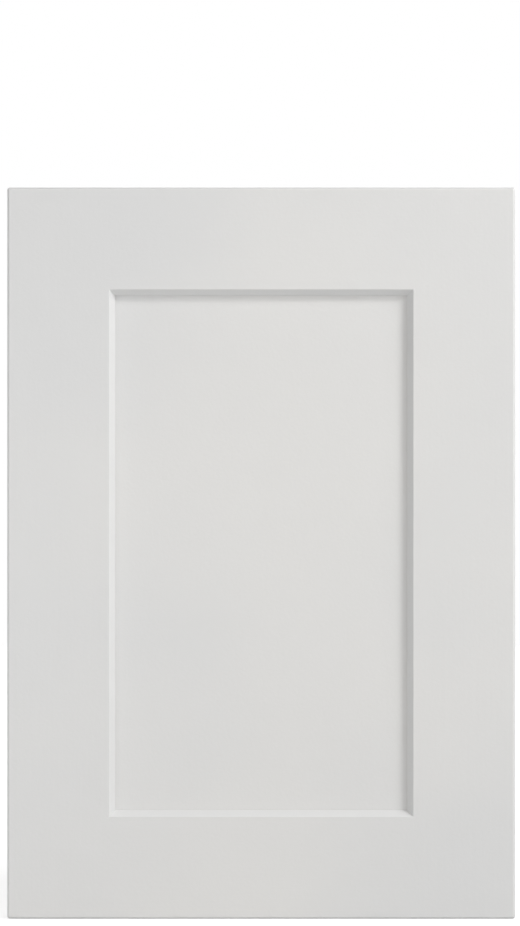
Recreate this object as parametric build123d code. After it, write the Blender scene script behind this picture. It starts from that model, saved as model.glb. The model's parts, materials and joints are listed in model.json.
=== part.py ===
# Painted kitchen cabinet door of the framed kind, with a flat panel sunk between four members.
# It is made as a joiner makes it. Two stiles run the full height, two rails are coped over the
# stiles' bevelled and grooved inner edges, and the panel sits in the groove all round. Two glued
# dowels hold each corner. The back of the hinge stile is bored for two cup hinges.
# Millimetres. X runs across the door, Z runs up, and the front faces -Y. The origin is the middle
# of the bottom edge, half-way through the thickness.

import os
from math import radians, tan

from build123d import *

# The door as a whole
door_width = 396.0
door_height = 570.0
door_thickness = 22.0
front_ease = 2.0
back_ease = 0.8

# The frame members. Their width runs from the door's edge to the panel's visible edge.
stile_width = 84.0
rail_width = 84.0
bevel_width = 4.5
lip_height = 1.0
arris_ease = 0.8

# The centre panel, and the groove that holds it
panel_thickness = 9.0
panel_setback = 7.0
panel_ease = 0.6
panel_end_clearance = 1.0
groove_depth = 10.0
groove_clearance = 0.1

# The coped corner joints and their dowels
tenon_end_clearance = 0.4
dowel_diameter = 6.0
dowel_length = 40.0
dowel_in_stile = 18.0
dowel_chamfer = 0.8
dowel_clearance = 0.1
dowel_end_clearance = 0.8
dowel_edge_distance = 20.0
dowel_spacing = 32.0
flute_count = 16
flute_depth = 0.3

# The boring for the hinges, in the back of the hinge stile
cup_diameter = 35.0
cup_depth = 13.0
cup_edge_distance = 22.5
cup_end_distance = 100.0
screw_hole_diameter = 3.0
screw_hole_depth = 11.0
drill_point_angle = 118.0
screw_hole_spacing = 45.0
screw_hole_setback = 9.5

# Planes through the thickness, and the lines that several pieces share
front_y = -door_thickness / 2
back_y = door_thickness / 2
bevel_foot_y = front_y + panel_setback - lip_height
panel_front_y = front_y + panel_setback
panel_back_y = panel_front_y + panel_thickness
panel_mid_y = (panel_front_y + panel_back_y) / 2
stile_groove_x = door_width / 2 - stile_width + groove_depth
rail_groove_z = rail_width - groove_depth
middle_of_height = Plane.XY.offset(door_height / 2)


def eased_block():
    """The outline of the glued-up door, with the edges that are rounded over after gluing."""
    block = Pos(0, 0, door_height / 2) * Box(door_width, door_thickness, door_height)
    front_rim = block.faces().sort_by(Axis.Y)[0].edges()
    corners = block.edges().filter_by(Axis.Y)
    block = fillet(front_rim + corners, front_ease)
    return fillet(block.faces().sort_by(Axis.Y)[-1].edges(), back_ease)


def member_section(width, groove_gap):
    """A member's section: X is the distance from the door's edge, Y the place in the thickness.

    The groove is wider than the panel by groove_gap on each side. The two arrises of the bevel
    are softened, as paint and sanding leave them.
    """
    groove_front_y = panel_front_y - groove_gap
    groove_back_y = panel_back_y + groove_gap
    outline = [
        (0, front_y),
        (width - bevel_width, front_y),
        (width, bevel_foot_y),
        (width, groove_front_y),
        (width - groove_depth, groove_front_y),
        (width - groove_depth, groove_back_y),
        (width, groove_back_y),
        (width, back_y),
        (0, back_y),
    ]
    section = Polygon(*outline, align=None)
    arrises = [section.vertices().sort_by_distance(point)[0] for point in outline[1:3]]
    return fillet(arrises, arris_ease)


def stile_bar(groove_gap, length):
    """The left-hand stile's section, extruded upwards from the door's bottom edge."""
    section = Pos(-door_width / 2, 0, 0) * member_section(stile_width, groove_gap)
    return extrude(section, length)


def rail_bar():
    """The bottom rail's section, as long as the rail is between the ends of its tenons."""
    across_door = Plane(origin=(0, 0, 0), x_dir=(0, 0, 1), z_dir=(-1, 0, 0))
    section = across_door * member_section(rail_width, groove_clearance)
    half_length = stile_groove_x - tenon_end_clearance
    return extrude(section, half_length, both=True)


def dowel_places():
    """The middle of each dowel, two to a corner, lying across the joint."""
    middle_x = stile_groove_x + dowel_in_stile - dowel_length / 2
    places = []
    for side in (-1, 1):
        for step in range(2):
            height = dowel_edge_distance + step * dowel_spacing
            places.append(Pos(side * middle_x, panel_mid_y, height))
            places.append(Pos(side * middle_x, panel_mid_y, door_height - height))
    return places


def dowel():
    """A fluted hardwood dowel along X, chamfered at both ends."""
    radius = dowel_diameter / 2
    points = []
    for step in range(2 * flute_count):
        reach = radius - flute_depth * (step % 2)
        points.append(Vector(reach, 0).rotate(Axis.Z, 180 * step / flute_count))
    pin = extrude(Polygon(*points, align=None), dowel_length / 2, both=True)
    turned = Cylinder(radius + dowel_chamfer, dowel_length)
    pin &= chamfer(turned.edges().filter_by(GeomType.CIRCLE), 2 * dowel_chamfer)
    return Rot(0, 90, 0) * pin


def drilled(member):
    """The member with the dowel holes of the corners that it meets."""
    hole_radius = dowel_diameter / 2 + dowel_clearance
    hole_length = dowel_length + 2 * dowel_end_clearance
    hole = Rot(0, 90, 0) * Cylinder(hole_radius, hole_length)
    for place in dowel_places():
        member -= place * hole
    return member


def bored_in_back(member, diameter, depth, x, z, point_angle=None):
    """The member with one hole drilled in its back face, flat-bottomed or with a drill's point."""
    mouth = Pos(x, back_y, z) * Rot(90, 0, 0)
    member -= mouth * Pos(0, 0, depth / 2) * Cylinder(diameter / 2, depth)
    if point_angle:
        point = diameter / 2 / tan(radians(point_angle / 2))
        member -= mouth * Pos(0, 0, depth + point / 2) * Cone(diameter / 2, 0, point)
    return member


def bored_for_hinges(stile):
    """The left-hand stile with a cup bore and two screw holes for each hinge."""
    cup_x = cup_edge_distance - door_width / 2
    screw_x = cup_x + screw_hole_setback
    for cup_z in (cup_end_distance, door_height - cup_end_distance):
        stile = bored_in_back(stile, cup_diameter, cup_depth, cup_x, cup_z)
        for side in (-1, 1):
            screw_z = cup_z + side * screw_hole_spacing / 2
            stile = bored_in_back(
                stile, screw_hole_diameter, screw_hole_depth, screw_x, screw_z, drill_point_angle
            )
    return stile


def centre_panel():
    """A flat board, a little smaller than the grooves are deep, with its edges eased."""
    width = 2 * (stile_groove_x - panel_end_clearance)
    height = door_height - 2 * (rail_groove_z + panel_end_clearance)
    board = Box(width, panel_thickness, height)
    rims = board.faces().filter_by(Axis.Y).edges()
    return Pos(0, panel_mid_y, door_height / 2) * chamfer(rims, panel_ease)


block = eased_block()
plain_stile = drilled(stile_bar(groove_clearance, door_height) & block)
cope = stile_bar(0, rail_width)
bottom_rail = drilled((rail_bar() & block) - cope - mirror(cope, Plane.YZ))

nodes = {
    "hinge_stile": bored_for_hinges(plain_stile),
    "closing_stile": mirror(plain_stile, Plane.YZ),
    "bottom_rail": bottom_rail,
    "top_rail": mirror(bottom_rail, middle_of_height),
    "centre_panel": centre_panel(),
    "corner_dowels": Compound([place * dowel() for place in dowel_places()]),
}

os.makedirs("parts", exist_ok=True)
for name, solid in nodes.items():
    export_step(solid, f"parts/{name}.step")
    print(name, len(solid.solids()), "solids", round(solid.volume / 1000, 1), "cm3")
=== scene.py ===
# A framed kitchen cabinet door in smooth matt paint, standing on a pale floor and seen square on.
import json
import math

import bpy
from mathutils import Matrix, Vector


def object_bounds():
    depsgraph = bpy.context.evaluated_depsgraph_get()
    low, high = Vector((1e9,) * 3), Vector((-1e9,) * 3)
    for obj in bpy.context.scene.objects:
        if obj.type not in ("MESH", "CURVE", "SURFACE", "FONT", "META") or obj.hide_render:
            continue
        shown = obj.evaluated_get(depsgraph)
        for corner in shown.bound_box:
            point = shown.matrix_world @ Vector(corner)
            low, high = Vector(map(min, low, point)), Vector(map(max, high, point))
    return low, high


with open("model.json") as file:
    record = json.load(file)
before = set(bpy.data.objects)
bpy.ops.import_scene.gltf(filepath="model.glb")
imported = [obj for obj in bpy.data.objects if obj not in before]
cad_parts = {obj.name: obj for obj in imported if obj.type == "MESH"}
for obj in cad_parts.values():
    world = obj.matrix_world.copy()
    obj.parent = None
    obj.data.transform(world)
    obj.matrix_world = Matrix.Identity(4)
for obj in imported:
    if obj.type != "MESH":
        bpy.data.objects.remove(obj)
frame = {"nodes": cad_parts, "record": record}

cad_box = [list(corner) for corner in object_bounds()]


# The hinge stile is the left-hand upright, of pale hardwood moulded on its inner edge. It is
# sprayed with a matt paint before its cup bores and screw holes are drilled from the back, so the
# bare wood shows inside them, with the fine rings that the cutters leave.
class Wire:
    """A socket of a shader tree. Arithmetic on it adds Math nodes, and node() adds any node."""

    def __init__(self, socket):
        self.socket = socket

    def node(self, kind, values, output=0, **settings):
        """Adds a node: first its settings, then a value or a wire for each of its sockets."""
        tree = self.socket.id_data
        made = tree.nodes.new(kind)
        for name, setting in settings.items():
            setattr(made, name, setting)
        for name, value in values.items():
            if isinstance(value, Wire):
                tree.links.new(value.socket, made.inputs[name])
            else:
                made.inputs[name].default_value = value
        return Wire(made.outputs[output])

    def maths(self, operation, first, second=0.0):
        return self.node("ShaderNodeMath", {0: first, 1: second}, operation=operation)

    def __add__(self, other):
        return self.maths("ADD", self, other)

    def __sub__(self, other):
        return self.maths("SUBTRACT", self, other)

    def __rsub__(self, other):
        return self.maths("SUBTRACT", other, self)

    def __mul__(self, other):
        return self.maths("MULTIPLY", self, other)

    def __lt__(self, other):
        return self.maths("LESS_THAN", self, other)

    def __gt__(self, other):
        return self.maths("GREATER_THAN", self, other)

    def __or__(self, other):
        """The larger of two, so that two masks join."""
        return self.maths("MAXIMUM", self, other)

    __radd__ = __add__
    __rmul__ = __mul__

    def smooth(self, low, high):
        """0 at low and 1 at high, with a soft start and end."""
        span = {"Value": self, "From Min": low, "From Max": high}
        return self.node("ShaderNodeMapRange", span, interpolation_type="SMOOTHSTEP")

    def choose(self, low, high):
        """The colour low where this wire is 0, and high where it is 1."""
        factor = 0
        colour_low = 6
        colour_high = 7
        colour_out = 2
        values = {factor: self, colour_low: low, colour_high: high}
        return self.node("ShaderNodeMix", values, colour_out, data_type="RGBA")

    def stretched(self, scale):
        return self.node("ShaderNodeMapping", {"Vector": self, "Scale": scale})

    def moved(self, distance):
        return self.node("ShaderNodeMapping", {"Vector": self, "Location": distance})

    def noise(self, size, detail=2.0):
        """Soft noise about half, with features of about this size."""
        values = {"Vector": self, "Scale": 1 / size, "Detail": detail}
        return self.node("ShaderNodeTexNoise", values)

    def split(self):
        """The X, Y and Z of a vector."""
        parts = self.node("ShaderNodeSeparateXYZ", {0: self}).socket.node
        return [Wire(socket) for socket in parts.outputs]


def new_surface(name):
    """A new material, the wire of its Object coordinates, and its surface shader."""
    material = bpy.data.materials.new(name)
    material.use_nodes = True
    nodes = material.node_tree.nodes
    return material, Wire(nodes.new("ShaderNodeTexCoord").outputs["Object"]), nodes["Principled BSDF"]


def feed(shader, socket_name, wire):
    wire.socket.id_data.links.new(wire.socket, shader.inputs[socket_name])


def feed_all(shader, colour, roughness, relief):
    """Runs a finish to its shader. The relief is a height in metres."""
    feed(shader, "Base Color", colour)
    feed(shader, "Roughness", roughness)
    feed(shader, "Normal", relief.node("ShaderNodeBump", {"Height": relief, "Distance": 1.0}))


def dress(node_name, material):
    part = frame["nodes"][node_name]
    part.data.materials.clear()
    part.data.materials.append(material)


# The first two colours are the lit and shaded ends of painted light and shade that drifts across the
# paint; the shaded one is also painted on the moulded bevels and edges as shade.
paint_lit_tone = (0.750, 0.742, 0.724, 1)
paint_shaded_tone = (0.709, 0.708, 0.702, 1)
light_and_shade_size = 0.28
light_and_shade_place = (2.604, 4.2, 4.074)
noise_low = 0.3
noise_middle = 0.5
noise_high = 0.7
square_on = 0.98
slanting = 0.7
face_roughness = 0.5
moulding_roughness = 0.6
roughness_change = 0.05
peel_size = 0.0024
peel_detail = 1.0
peel_height = 0.00006
ghost_grain_size = 0.003
ghost_grain_height = 0.00004
grain_stretch = 0.05
grain_up = (1, 1, grain_stretch)
grain_across = (grain_stretch, 1, 1)
no_grain = (1, 1, 1)


def matt_paint(place, grain):
    """The colour, roughness and relief of the paint, with a ghost of the grain beneath it.

    It has a fine orange peel. Its tone drifts over a hand's width or two, from a cooler and deeper
    grey to a warmer and lighter one, a drift placed to paint in where the light fell brighter and
    dimmer across the door, so it is painted light and shade. Where the wood was moulded the colour is
    held at the deep grey, a painted shade on the bevels and edges, and the paint is a little rougher.
    """
    facing = place.node("ShaderNodeNewGeometry", {}, "Normal").split()[1]
    # This marks the moulded bevels and edges: they get painted shade in the deep grey, and a rougher
    # paint.
    moulded_rough_and_shaded = 1 - facing.maths("ABSOLUTE", facing).smooth(slanting, square_on)
    # A drift of painted light and shade, its lighter and deeper patches placed where the light fell
    # brighter and dimmer on the door.
    light_and_shade_mottle = place.moved(light_and_shade_place).noise(light_and_shade_size)
    lightness = light_and_shade_mottle.smooth(noise_low, noise_high) * (1 - moulded_rough_and_shaded)
    colour = lightness.choose(paint_shaded_tone, paint_lit_tone)
    roughness = face_roughness + moulded_rough_and_shaded * (moulding_roughness - face_roughness)
    roughness = roughness + (light_and_shade_mottle - noise_middle) * roughness_change
    relief = place.noise(peel_size, peel_detail) * peel_height
    relief = relief + place.stretched(grain).noise(ghost_grain_size) * ghost_grain_height
    return colour, roughness, relief


wood_light = (0.60, 0.47, 0.31, 1)
wood_dark = (0.47, 0.345, 0.205, 1)
wood_fibre_size = 0.0011
wood_fibre_detail = 3.0
wood_fibre_height = 0.00003
wood_roughness = 0.8
cutter_ring_pitch = 0.0007
cutter_ring_height = 0.00001
# The radius of the painted shade in the spur's prick at each cup's middle.
spur_prick_shade_radius = 0.0014
bore_margin = 0.0003

mm_per_metre = 1000
mounts = {mount["name"]: mount for mount in frame["record"]["mounts"]}
holes = []
for level in ("upper", "lower"):
    cup = mounts[level + "_hinge_cup"]
    screws = mounts[level + "_hinge_screws"]
    cup_radius = cup["dims"]["r_mm"] / mm_per_metre
    screw_radius = screws["dims"]["hole_r_mm"] / mm_per_metre
    holes.append((cup["pos_m"][0], cup["pos_m"][2], cup_radius))
    for side in (-1, 1):
        screw_z = screws["pos_m"][2] + side * screws["dims"]["spacing_y_mm"] / 2 / mm_per_metre
        holes.append((screws["pos_m"][0], screw_z, screw_radius))
back_y = cad_box[1][1]
cup_floor_y = back_y - cup["dims"]["length_mm"] / mm_per_metre

stile_paint, place, shader = new_surface("paint_hinge_stile")
x, y, z = place.split()


def beyond_wall(hole_x, hole_z, radius):
    """How far a point lies outside a hole's wall, which is less than nothing within the hole."""
    across = x - hole_x
    upward = z - hole_z
    return place.maths("SQRT", across * across + upward * upward) - radius


beyond = beyond_wall(*holes[0])
for hole in holes[1:]:
    beyond = place.maths("MINIMUM", beyond, beyond_wall(*hole))
bare = (beyond < bore_margin) * (y > cup_floor_y - bore_margin) * (y < back_y - bore_margin)
fibre = place.stretched(grain_up).noise(wood_fibre_size, wood_fibre_detail)
# A small dot of the dark wood tone at each cup's middle is painted shade in the hole that the
# cutter's centre spur pricks.
spur_prick_shade = 1 - (beyond + cup_radius).smooth(spur_prick_shade_radius / 2, spur_prick_shade_radius)
lightness = fibre.smooth(noise_low, noise_high) * (1 - spur_prick_shade)
wood_colour = lightness.choose(wood_dark, wood_light)
rings = place.maths("SINE", beyond * (2 * math.pi / cutter_ring_pitch))
paint_colour, paint_roughness, paint_relief = matt_paint(place, grain_up)
feed_all(
    shader,
    bare.choose(paint_colour, wood_colour),
    paint_roughness + bare * (wood_roughness - face_roughness),
    paint_relief + bare * (fibre * wood_fibre_height + rings * cutter_ring_height),
)
dress("hinge_stile", stile_paint)


# The closing stile is the right-hand upright, and the rails run between the two. They are the same
# wood under the same paint, and the rails' ends are coped over the stiles' moulding, so that the
# bevels meet in a mitre at each inner corner.
grain_of = {"closing_stile": grain_up, "top_rail": grain_across, "bottom_rail": grain_across}
for node_name, grain in grain_of.items():
    member_paint, place, shader = new_surface("paint_" + node_name)
    feed_all(shader, *matt_paint(place, grain))
    dress(node_name, member_paint)


# The centre panel is a flat board with no grain of its own. It sits in the frame's groove, and is
# sprayed with the rest once the door is together.
panel_paint, place, shader = new_surface("paint_centre_panel")
feed_all(shader, *matt_paint(place, no_grain))
dress("centre_panel", panel_paint)


# Eight fluted beech dowels hold the corners. They lie across the joints, out of sight, with their
# grain along their length.
beech_light = (0.69, 0.47, 0.28, 1)
beech_dark = (0.59, 0.39, 0.22, 1)
beech_fleck_size = 0.0008
beech_fleck_height = 0.00002
beech_roughness = 0.6
beech_roughness_change = 0.2
beech, place, shader = new_surface("beech")
fleck = place.stretched(grain_across).noise(beech_fleck_size)
feed_all(
    shader,
    fleck.smooth(noise_low, noise_high).choose(beech_dark, beech_light),
    beech_roughness + fleck * beech_roughness_change,
    fleck * beech_fleck_height,
)
dress("corner_dowels", beech)


# The floor is a pale matt sheet that keeps the door's shadow and gives light back to the door's
# lower half. Further off it runs into a plain white backdrop.
def seen_rays(tree):
    """1 for the rays that show a thing to the viewer, straight on or in a gloss, and otherwise 0."""
    ray = tree.nodes.new("ShaderNodeLightPath").outputs
    return Wire(ray["Is Camera Ray"]) | Wire(ray["Is Glossy Ray"]) | Wire(ray["Is Transmission Ray"])


floor_size = 8.0
floor_cells = 8
floor_seen = (0.5, 0.5, 0.5, 1)
floor_given = (0.7, 0.7, 0.7, 1)
floor_glow = 0.56
shadow_reach = 0.6
white_from = 1.3
black = (0, 0, 0, 1)
bpy.ops.mesh.primitive_grid_add(
    x_subdivisions=floor_cells, y_subdivisions=floor_cells, size=floor_size
)
floor = bpy.context.object
floor.name = "floor"
floor_finish, place, shader = new_surface("floor")
seen = seen_rays(floor_finish.node_tree)
reach = place.node("ShaderNodeVectorMath", {0: place}, "Value", operation="LENGTH")
far_off = reach.smooth(shadow_reach, white_from)
feed(shader, "Base Color", (seen * far_off).choose(seen.choose(floor_given, floor_seen), black))
feed(shader, "Emission Color", seen * (floor_glow + far_off * (1 - floor_glow)))
shader.inputs["Emission Strength"].default_value = 1.0
shader.inputs["Roughness"].default_value = 1.0
floor.data.materials.append(floor_finish)

room_light = 0.2
backdrop_shown = 1.0
studio = bpy.data.worlds.new("studio")
studio.use_nodes = True
bpy.context.scene.world = studio
backdrop = studio.node_tree.nodes["Background"]
backdrop.inputs["Color"].default_value = (1, 1, 1, 1)
seen = seen_rays(studio.node_tree)
feed(backdrop, "Strength", room_light + seen * (backdrop_shown - room_light))


# The key light is a soft box high on the right. A larger one stands below it and another high in
# front, a small one near the door fills in from the left, and two light its back. None of them shows.
lamp_distance = 2.5
front_box_size = 1.6
back_box_size = 1.15


def softbox(name, azimuth, elevation, distance, size, power):
    """A square lamp that points at the middle of the door. Azimuth 0 is straight in front."""
    towards_front = Vector((0, -1, 0))
    raised = Matrix.Rotation(math.radians(-elevation), 3, "X") @ towards_front
    direction = Matrix.Rotation(math.radians(azimuth), 3, "Z") @ raised
    lamp = bpy.data.lights.new(name, "AREA")
    lamp.shape = "SQUARE"
    lamp.size = size
    lamp.energy = power
    box = bpy.data.objects.new(name, lamp)
    bpy.context.scene.collection.objects.link(box)
    box.location = Vector((0, 0, cad_box[1][2] / 2)) + direction * distance
    box.rotation_euler = (-direction).to_track_quat("-Z", "Y").to_euler()
    box.visible_camera = False


softbox("key", 56, 40, lamp_distance, 0.5, 30)
softbox("right_wide", 55, 15, lamp_distance, front_box_size, 14.5)
softbox("top_front", 0, 40, lamp_distance, front_box_size, 8.6)
softbox("near_left", -45, 0, 1.0, 0.3, 1.7)
softbox("behind_left", -145, 16, lamp_distance, back_box_size, 24)
softbox("behind_right", 150, 14, lamp_distance, back_box_size, 18)


# The camera looks straight at the door from the front, with the photograph's framing.
photo_width = 520
photo_height = 926
door_left = 7.1
door_right = 515.3
door_bottom = 918.9
lens = 135.0
sensor = 36.0
metres_per_pixel = (cad_box[1][0] - cad_box[0][0]) / (door_right - door_left)
distance = lens / sensor * photo_height * metres_per_pixel
view = bpy.data.cameras.new("camera")
view.lens = lens
view.sensor_width = sensor
camera = bpy.data.objects.new("camera", view)
bpy.context.scene.collection.objects.link(camera)
camera.location = (
    (photo_width - door_left - door_right) / 2 * metres_per_pixel,
    cad_box[0][1] - distance,
    (door_bottom - photo_height / 2) * metres_per_pixel,
)
camera.rotation_euler = (math.pi / 2, 0, 0)
bpy.context.scene.camera = camera
bpy.context.scene.view_settings.view_transform = "Standard"
